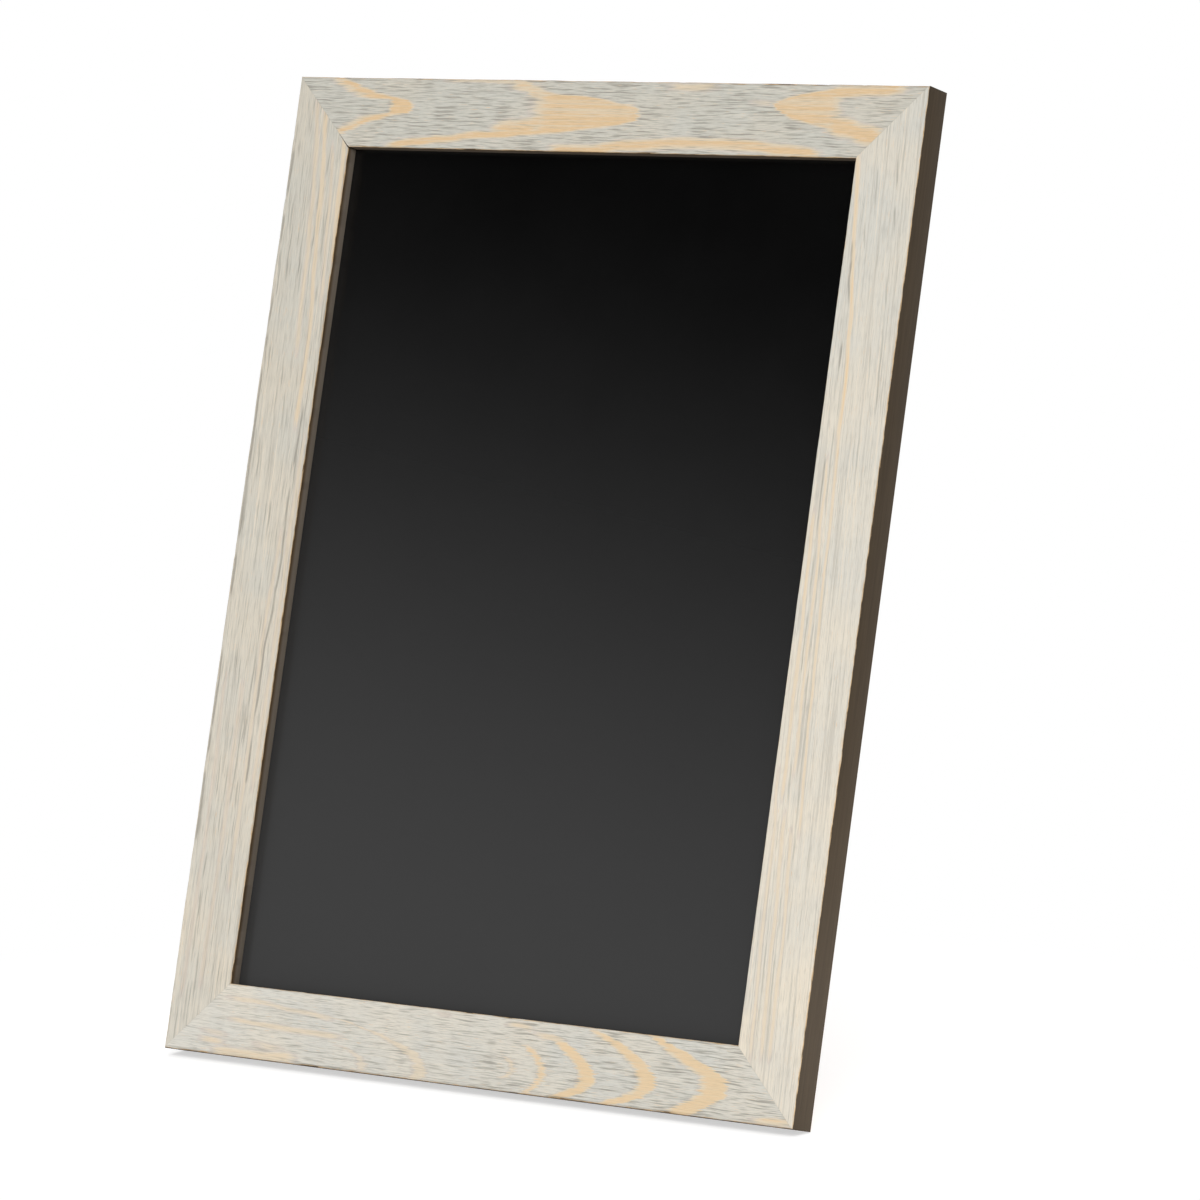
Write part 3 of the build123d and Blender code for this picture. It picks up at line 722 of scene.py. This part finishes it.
def brushed_wood(tree, face, stored, strokes):
    """The washed colour with painted shade in its grooves and cracks, a painted highlight on its ridges, fine
    strokes, and the line of the mitre.
    """
    # Painted shade darkens the grooves and cracks, and a painted highlight lightens the ridges.
    face = mix(tree, step(tree, stored["brush"], 0.0, 0.8, 0.0, GROOVE_SHADE_SHARE), face, GROOVE_SHADE)
    face = mix(tree, step(tree, stored["brush"], -0.02, -0.7, 0.0, RIDGE_HIGHLIGHT_SHARE), face, RIDGE_HIGHLIGHT)
    coarse = math_node(tree, "SUBTRACT", 1.0, times(tree, stored["straight"], FINE_ON_STRAIGHT))
    fine = times(tree, strokes["Dark"], step(tree, stored["latewood"], 0.0, 0.6, *FINE_ON_LATEWOOD))
    face = mix(tree, times(tree, fine, coarse), face, FINE_STROKE)
    face = mix(tree, times(tree, strokes["Pale"], times(tree, coarse, CHALK_SHARE)), face, CHALK)
    broken = step(tree, strokes["Noise"], *NOISE_RANGE, 0.0, GLUE_SHARE)
    return mix(tree, times(tree, step(tree, stored["mitre"], *GLUE_REACH), broken), face, GLUE_LINE)


print("colours of the wash, linear:", [round(value, 2) for value in WASH_GREY[0][:3]])

# %% [markdown]
# ## Painted sides and raw back
# The sides and the wall of the lip are painted dark brown, and the paint is rubbed through to bare wood at
# the arris, except where it has run into a groove. The back is raw pine with a little of the paint sprayed
# over its edge. How far back a place lies tells which of the three it is, so one material can hold them all.
# Depths and reaches are in millimetres, and strokes and lines have a length, a width and a pattern.

# %% Material of the frame members
PAINT = shade(58, 47, 34), shade(86, 72, 54)
LIP_WALL_PAINTED_LIGHT = shade(96, 77, 55), shade(134, 124, 112)
BARE_ARRIS = shade(218, 180, 128)
RAW_PINE = shade(229, 202, 160), shade(199, 152, 100)
RAW_PORE = shade(150, 108, 68)
RAW_JOINT = shade(96, 68, 44)
STROKES = 5.0, 0.27, 3.0
LINES = 80.0, 0.9, 9.0
WALL_FROM = FACE - 0.5, FACE - 0.3
LIT_WALL_SHARE = 0.8
PORE_SHARE = 0.35
JOINT_REACH = 0.3, 0.05
JOINT_SHARE = 0.7
SPRAY_REACH = 1.8, 0.2
SPRAY_SHARE = 0.6
PAINT_RUN = 0.35
PAINT_RAGGED = 1.3
BARE_DEPTH = 0.14, 0.34
BARE_SHARE = 0.8
PAINT_DEPTH = 0.34, 0.56
REAR_DEPTH = DEPTH - 0.5, DEPTH - 0.25
PINE_ROUGHNESS = 0.8, 0.6
PINE_BUMP = 0.35, 0.0001


def painted_sides(tree, stored, depth, lines):
    """Colour of the paint on the sides, with painted light on the lip walls, strongest on the stiles, and
    painted shade near the face.
    """
    paint = mix(tree, lines["Noise"], *PAINT)
    # Painted light and shade on the lip walls: lighter deeper in, darker by the face, and lightened less on
    # the rails, which are left in shade.
    lit_wall = step(tree, stored["inset"], *WALL_FROM, 0.0, LIT_WALL_SHARE)
    wall = mix(tree, step(tree, depth, 1.0, 3.0), *LIP_WALL_PAINTED_LIGHT)
    return mix(tree, times(tree, lit_wall, stored["straight"]), paint, wall)


def raw_back(tree, stored, strokes, lines, paint, ragged):
    """Colour of the unpainted back."""
    raw = mix(tree, step(tree, lines["Noise"], 0.36, 0.62), *RAW_PINE)
    raw = mix(tree, times(tree, strokes["Dark"], PORE_SHARE), raw, RAW_PORE)
    raw = mix(tree, step(tree, stored["mitre"], *JOINT_REACH, 0.0, JOINT_SHARE), raw, RAW_JOINT)
    ragged_inset = plus(tree, stored["inset"], times(tree, ragged, 2.0))
    return mix(tree, step(tree, ragged_inset, *SPRAY_REACH, 0.0, SPRAY_SHARE), raw, paint)


def washed_pine():
    """Finish of the frame: washed face, painted sides, raw back."""
    material, tree, shader = finish("washed_pine")
    place = add(tree, "Attribute", attribute_name="grain_place").outputs["Vector"]
    stored = {key: add(tree, "Attribute", attribute_name=key).outputs["Fac"] for key in STORED}
    depth = add(tree, "SeparateXYZ", {0: place}).outputs[2]
    strokes = marks_on(tree, place, *STROKES)
    lines = marks_on(tree, place, *LINES)
    face = brushed_wood(tree, washed_wood(tree, stored, place, lines), stored, strokes)
    paint = painted_sides(tree, stored, depth, lines)
    ragged = times(tree, math_node(tree, "SUBTRACT", strokes["Noise"], 0.5), PAINT_RAGGED)
    on_arris = step(tree, depth, 0.02, 0.1, 0.0, PAINT_RUN)
    run = times(tree, step(tree, stored["brush"], 0.5, 0.9), on_arris)
    edge_depth = plus(tree, plus(tree, depth, ragged), run)
    painted = step(tree, edge_depth, *PAINT_DEPTH)
    bare = mix(tree, step(tree, edge_depth, *BARE_DEPTH, 0.0, BARE_SHARE), face, BARE_ARRIS)
    rear = step(tree, depth, *REAR_DEPTH)
    raw = raw_back(tree, stored, strokes, lines, paint, ragged)
    tree.links.new(mix(tree, rear, mix(tree, painted, bare, paint), raw), shader.inputs["Base Color"])
    dull = step(tree, math_node(tree, "SUBTRACT", painted, rear), 0.0, 1.0, *PINE_ROUGHNESS)
    tree.links.new(dull, shader.inputs["Roughness"])
    shader.inputs["Specular IOR Level"].default_value = 0.15
    height = plus(tree, strokes["Noise"], times(tree, lines["Noise"], 0.5))
    rough_surface(tree, shader, height, *PINE_BUMP)
    return material


pine = washed_pine()
for member in members:
    member.data.materials.append(pine)
print("pine on:", [member.name for member in members])

# %% [markdown]
# ## Slate
# Writing slate is honed flat and rubbed until it is an even, satin black. Over the black lies a painted
# sheen: grey painted into the slate's colour, brightest at the foot and ending near the top, a little higher
# on the left. A smooth step up the board lays it. A faint cloudiness in colour and roughness keeps the slate
# from looking like plastic.

# %% Material of the slate
SLATE_BLACK = shade(4, 4, 4), shade(6, 6, 6)
PAINTED_SHEEN = shade(56, 56, 56)
SHEEN_RISE = UP + 0.18 * ACROSS
SHEEN_SPAN = BOTTOM + 20 * MM, TOP - 20 * MM
SLATE_ROUGHNESS = 0.22, 0.26
SLATE_BUMP = 0.06, 0.00005


def honed_slate():
    """Finish of the writing slate."""
    material, tree, shader = finish("honed_slate")
    place = object_place(tree)
    clouds = cloudy(tree, place, 28.0, 5.0, 0.6)
    # Painted sheen: grey painted into the colour, brightest at the foot and fading out upwards, higher on the
    # left.
    height = add(tree, "VectorMath", {0: place, 1: SHEEN_RISE}, operation="DOT_PRODUCT").outputs["Value"]
    sheen = step(tree, height, *SHEEN_SPAN, 1.0, 0.0)
    colour = mix(tree, sheen, mix(tree, clouds, *SLATE_BLACK), PAINTED_SHEEN)
    tree.links.new(colour, shader.inputs["Base Color"])
    tree.links.new(step(tree, clouds, *NOISE_RANGE, *SLATE_ROUGHNESS), shader.inputs["Roughness"])
    rough_surface(tree, shader, cloudy(tree, place, 2400.0, 2.0), *SLATE_BUMP)
    return material


slate = honed_slate()
print("slate nodes:", len(slate.node_tree.nodes))

# %% [markdown]
# ## Pressed fibre board
# The backing board and the leg are pressed wood fibre: brown, smooth on the outside, with short dark and pale
# fibres lying every way. Three layers of one-way marks, each with its own turn in the plane of the board and
# its own pattern, give that felted look.

# %% Material of the backing board and the leg
FIBRE_BROWN = shade(122, 88, 60), shade(141, 105, 74)
FIBRE_DARK = shade(78, 53, 36)
FIBRE_PALE = shade(176, 140, 102)
FIBRE_SIZE = 0.0055, 0.0005
FIBRE_TURNS = {0.4: 1.0, 1.5: 4.0, 2.5: 8.0}
FIBRE_DARK_SHARE = 0.4
FIBRE_PALE_SHARE = 0.3
FIBRE_ROUGHNESS = 0.48, 0.62
FIBRE_BUMP = 0.15, 0.00006


def pressed_board():
    """Finish of pressed fibre board."""
    material, tree, shader = finish("pressed_board")
    place = object_place(tree)
    upright = (-math.atan2(UP.y, UP.z), 0, 0)
    board = add(tree, "Mapping", {"Vector": place, "Rotation": upright}).outputs[0]
    fibres = []
    for turn, pattern in FIBRE_TURNS.items():
        turned = add(tree, "Mapping", {"Vector": board, "Rotation": (0, turn, 0)}).outputs[0]
        parts = add(tree, "SeparateXYZ", {0: turned}).outputs
        flat = add(tree, "CombineXYZ", {0: parts[0], 1: parts[2], 2: times(tree, parts[1], 0.1)}).outputs[0]
        fibres.append(marks_on(tree, flat, *FIBRE_SIZE, pattern))
    dark = math_node(tree, "MAXIMUM", fibres[0]["Dark"], fibres[1]["Dark"])
    pale = math_node(tree, "MAXIMUM", fibres[1]["Pale"], fibres[2]["Pale"])
    clouds = cloudy(tree, place, 45.0, 4.0)
    colour = mix(tree, step(tree, clouds, *NOISE_RANGE), *FIBRE_BROWN)
    colour = mix(tree, times(tree, dark, FIBRE_DARK_SHARE), colour, FIBRE_DARK)
    colour = mix(tree, times(tree, pale, FIBRE_PALE_SHARE), colour, FIBRE_PALE)
    tree.links.new(colour, shader.inputs["Base Color"])
    tree.links.new(step(tree, clouds, *NOISE_RANGE, *FIBRE_ROUGHNESS), shader.inputs["Roughness"])
    rough_surface(tree, shader, fibres[0]["Noise"], *FIBRE_BUMP)
    return material


fibre_board = pressed_board()
print("fibre board nodes:", len(fibre_board.node_tree.nodes))

# %% [markdown]
# ## Metals
# The hinge and the hanger are zinc-plated strip, the turn buttons and their screws are brass-plated, and
# nails, rivets and pin are bare steel. They differ in colour and in how dull they have grown, so one
# function makes all three from a bright colour, a dull colour and two roughnesses.

# %% Materials of the metal pieces
ROLLING = 0.012, 0.0002, 2.0
ROLLING_SHARE = 0.25
ROLLING_BUMP = 0.08, 0.00004
DULL_PATCHES = 0.35, 0.7
SCORING = 0.08


def metal(name, bright, dull, smooth, rough):
    """Finish of a metal piece, with the marks of its rolling and dull patches."""
    material, tree, shader = finish(name)
    place = object_place(tree)
    rolled = marks_on(tree, place, *ROLLING)
    dulled = step(tree, cloudy(tree, place, 260.0, 3.0), *DULL_PATCHES)
    colour = mix(tree, dulled, bright, dull)
    colour = mix(tree, times(tree, rolled["Dark"], ROLLING_SHARE), colour, dull)
    tree.links.new(colour, shader.inputs["Base Color"])
    shader.inputs["Metallic"].default_value = 1.0
    scored = times(tree, rolled["Noise"], SCORING)
    worn = plus(tree, step(tree, dulled, 0.0, 1.0, smooth, rough), scored)
    tree.links.new(worn, shader.inputs["Roughness"])
    rough_surface(tree, shader, rolled["Noise"], *ROLLING_BUMP)
    return material


zinc = metal("dull_zinc", shade(200, 203, 205), shade(172, 176, 178), 0.3, 0.42)
brass = metal("dull_brass", shade(222, 186, 114), shade(194, 157, 92), 0.26, 0.36)
steel = metal("dull_steel", shade(198, 198, 196), shade(128, 126, 122), 0.28, 0.5)
print("metals:", [finished.name for finished in (zinc, brass, steel)])

# %% [markdown]
# ## Finishes on the solids
# The rest of the board keeps the shape of its solids: flat sheets, plates and small turned pieces need no
# second model. They only get their finish in place of the plain one that they came with.

# %% Put each finish on its pieces
buttons = sorted(name for name in frame["nodes"] if name.startswith("turn_button_") and "screws" not in name)
FINISHES = [
    (slate, ["writing_slate"]),
    (fibre_board, ["backing_board", "easel_leg"]),
    (zinc, ["hinge_fixed_leaf", "hinge_leg_leaf", "top_hanger"]),
    (brass, [*buttons, "turn_button_screws"]),
    (steel, ["corner_v_nails", "hanger_nails", "hinge_fixed_rivets", "hinge_leg_rivets", "hinge_pin"]),
]
for material, names in FINISHES:
    for name in names:
        slots = frame["nodes"][name].data.materials
        slots.clear()
        slots.append(material)
    print(material.name, "on", len(names), "pieces")

# %% [markdown]
# ## Floor
# The board stands on a plain white sweep. Close to the board the floor is a white surface that takes a soft
# shadow. What the camera and reflections see there is part surface and part plain white, with a little glow
# that lifts all but the shadow to white. Far away, where the lamps fade, it is plain white altogether, so
# the picture has no horizon.

# %% Make the floor
FLOOR_HALF = 60.0
FLOOR_WHITE = (0.88, 0.88, 0.88, 1)
SHADOW_REACH = (0.15, 0.32)
FLOOR_GLOW = 0.45
PLAIN_SHARE = 0.2


def in_a_mirror(tree):
    """1 for rays that come from a gloss or through a glass."""
    path = add(tree, "LightPath").outputs
    return math_node(tree, "MAXIMUM", path["Is Glossy Ray"], path["Is Transmission Ray"])


def seen_straight(tree):
    """1 for rays that come straight from the camera."""
    return add(tree, "LightPath").outputs["Is Camera Ray"]


def white_floor():
    """Finish of the floor: white with a shadow near the board, plain white far from it."""
    material, tree, shader = finish("white_floor")
    shader.inputs["Base Color"].default_value = FLOOR_WHITE
    shader.inputs["Roughness"].default_value = 0.9
    shader.inputs["Specular IOR Level"].default_value = 0.0
    distance = add(tree, "VectorMath", {0: object_place(tree)}, operation="LENGTH").outputs["Value"]
    seen = math_node(tree, "MAXIMUM", seen_straight(tree), in_a_mirror(tree))
    glow = mix(tree, seen, (0, 0, 0, 1), (1, 1, 1, 1))
    tree.links.new(glow, shader.inputs["Emission Color"])
    shader.inputs["Emission Strength"].default_value = FLOOR_GLOW
    white = times(tree, step(tree, distance, *SHADOW_REACH, PLAIN_SHARE, 1.0), seen)
    plain = add(tree, "Emission", {"Color": (1, 1, 1, 1), "Strength": 1.0}).outputs[0]
    both = add(tree, "MixShader", {0: white, 1: shader.outputs[0], 2: plain}).outputs[0]
    tree.links.new(both, tree.nodes["Material Output"].inputs["Surface"])
    return material


bm = bmesh.new()
bmesh.ops.create_grid(bm, x_segments=2, y_segments=2, size=FLOOR_HALF)
floor_mesh = bpy.data.meshes.new("floor")
bm.to_mesh(floor_mesh)
bm.free()
floor_mesh.materials.append(white_floor())
floor = bpy.data.objects.new("floor", floor_mesh)
bpy.context.scene.collection.objects.link(floor)
print("floor:", 2 * FLOOR_HALF, "m across")

# %% [markdown]
# ## Light
# The light is even, with hardly a shadow, which a large soft box near the camera gives, with a weak
# fill from the front. Another one behind the board keeps its back from going dark, and a small one on the
# floor lights the foot of the right side. The slate is also a dark mirror: it shows what stands to the left
# of the camera. A card of weak strips stands there, bright below and fading upwards, and gives the slate a
# faint sheen; the rest of its sheen is painted into the slate's colour. In reflections the fill is not
# seen, and the room in front is dark, as a studio is.

# %% Lamps and surroundings
AIM = Vector((0, 0, 0.16))
CARD_PLACE = (-0.42, -0.62)
CARD_STRIP = (0.8, 0.07)
CARD_WATTS = (0.054, 0.054, 0.055, 0.058, 0.045, 0.028, 0.005)
ROOM_AMBIENT = 0.4
ROOM_IN_GLOSS = (0.008, 1.0)


def soft_box(name, place, aim, size, watts, in_gloss=True):
    """Rectangular lamp that faces a point. It may be left out of reflections."""
    lamp = bpy.data.lights.new(name, "AREA")
    lamp.shape = "RECTANGLE"
    lamp.size, lamp.size_y = size
    lamp.energy = watts
    holder = bpy.data.objects.new(name, lamp)
    holder.location = place
    holder.visible_glossy = in_gloss
    holder.rotation_euler = (Vector(aim) - Vector(place)).to_track_quat("-Z", "Y").to_euler()
    bpy.context.scene.collection.objects.link(holder)


soft_box("key", place=(0.7, -1.5, 1.5), aim=AIM, size=(1.4, 1.4), watts=21.0)
soft_box("fill", place=(-0.25, -1.1, 0.15), aim=AIM, size=(0.6, 0.4), watts=1.8, in_gloss=False)
soft_box("behind", place=(-0.5, 1.4, 1.3), aim=AIM, size=(1.4, 1.4), watts=13.0)
soft_box("foot", place=(0.25, 0.03, 0.02), aim=(0.13, 0.0, 0.02), size=(0.05, 0.04), watts=0.085)
for number, watts in enumerate(CARD_WATTS):
    height = CARD_STRIP[1] * (number + 0.5)
    soft_box(f"card_{number}", (*CARD_PLACE, height), (0, 0, height), CARD_STRIP, watts)

world = bpy.data.worlds.new("studio")
bpy.context.scene.world = world
world.use_nodes = True
room = world.node_tree
towards_back = add(room, "SeparateXYZ", {0: add(room, "TexCoord").outputs["Generated"]}).outputs[1]
mirrored = in_a_mirror(room)
in_gloss = times(room, mirrored, step(room, towards_back, -0.3, 0.2, *ROOM_IN_GLOSS))
ambient = times(room, math_node(room, "SUBTRACT", 1.0, mirrored), ROOM_AMBIENT)
strength = math_node(room, "MAXIMUM", seen_straight(room), plus(room, in_gloss, ambient))
backdrop = room.nodes["Background"]
backdrop.inputs["Color"].default_value = (1, 1, 1, 1)
room.links.new(strength, backdrop.inputs["Strength"])
bpy.context.scene.view_settings.view_transform = "Standard"
print("lamps:", len(bpy.data.lights))

# %% [markdown]
# ## Camera
# The picture was taken with a long lens from the right, a little above the board. Lens, place and direction
# were worked out from the corners of the frame and its opening, so the render lines up with the picture.

# %% Camera at the picture's viewpoint
LENS = 178.85
CAMERA_PLACE = Vector((1.15134, -1.67230, 0.38379))
YAW = math.radians(-34.194)
PITCH = math.radians(-6.2074)

camera = bpy.data.cameras.new("camera")
camera.lens = LENS
camera.sensor_width = 36.0
viewer = bpy.data.objects.new("camera", camera)
viewer.location = CAMERA_PLACE
forward = Vector((math.sin(YAW) * math.cos(PITCH), math.cos(YAW) * math.cos(PITCH), math.sin(PITCH)))
viewer.rotation_euler = forward.to_track_quat("-Z", "Y").to_euler()
bpy.context.scene.collection.objects.link(viewer)
bpy.context.scene.camera = viewer
print(f"camera {CAMERA_PLACE.length:.2f} m from the board's foot")
